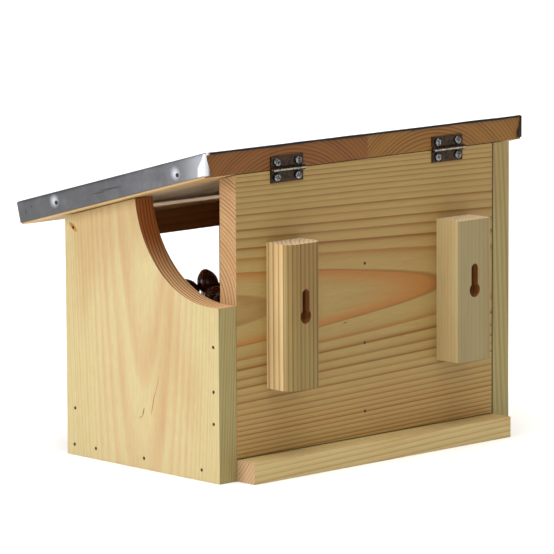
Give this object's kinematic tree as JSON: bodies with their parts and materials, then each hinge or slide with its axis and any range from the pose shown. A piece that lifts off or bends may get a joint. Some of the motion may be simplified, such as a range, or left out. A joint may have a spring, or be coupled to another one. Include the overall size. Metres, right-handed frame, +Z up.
{
  "type": "nut feeder box",
  "caption": "Wall-hung wooden nut feeder box with a hinged metal-clad roof lid, clear front pane, quarter-round side entry and keyhole hanging battens.",
  "frame": {"origin": "on the underside, midway between the sides, in the plane of the back panel's outer face", "axes": "+X across the box towards the side with the entry cut, +Y towards the wall that it hangs on, +Z up; the window faces -Y"},
  "size_m": [0.3058, 0.2162, 0.2258],
  "materials": {
    "side_pine": "planed softwood, unfinished, upright grain",
    "board_pine": "planed softwood, unfinished, level grain",
    "batten_pine": "planed softwood, unfinished, upright grain",
    "roof_pine": "planed softwood, unfinished, brown end grain",
    "zinc_sheet": "dull galvanised sheet with light blotches",
    "hinge_steel": "dark oxidised steel",
    "plated_steel": "zinc plated",
    "nail_steel": "plain wire nail",
    "clear_acrylic": "clear polished sheet",
    "nut_shell": "glossy brown nut shells"
  },
  "bodies": {
    "box": {"side_panel_entry": "side_pine", "side_panel_plain": "side_pine", "floor_board": "board_pine", "back_panel": "board_pine", "front_board": "board_pine", "front_bar": "board_pine", "front_window": "clear_acrylic", "centre_divider": "board_pine", "nut_fill_left": "nut_shell", "nut_fill_right": "nut_shell", "side_brads_entry": "nail_steel", "side_brads_plain": "nail_steel", "divider_brads": "nail_steel", "batten_screws": "plated_steel", "hanging_batten_left": "batten_pine", "hanging_batten_right": "batten_pine", "hinge_leaf_lower_left": "hinge_steel", "hinge_leaf_lower_right": "hinge_steel", "hinge_pin_left": "plated_steel", "hinge_pin_right": "plated_steel", "hinge_screws_lower": "plated_steel"},
    "lid": {"roof_board_left": "roof_pine", "roof_board_right": "roof_pine", "roof_sheet": "zinc_sheet", "roof_nails": "nail_steel", "hinge_leaf_upper_left": "hinge_steel", "hinge_leaf_upper_right": "hinge_steel", "hinge_screws_upper": "plated_steel"}
  },
  "joints": [
    {"name": "lid_hinge", "type": "hinge", "parent": "box", "child": "lid", "pos_m": [0, 0.0021, 0.2091], "axis": [-1, 0, 0], "range_deg": [0, 105]}
  ]
}
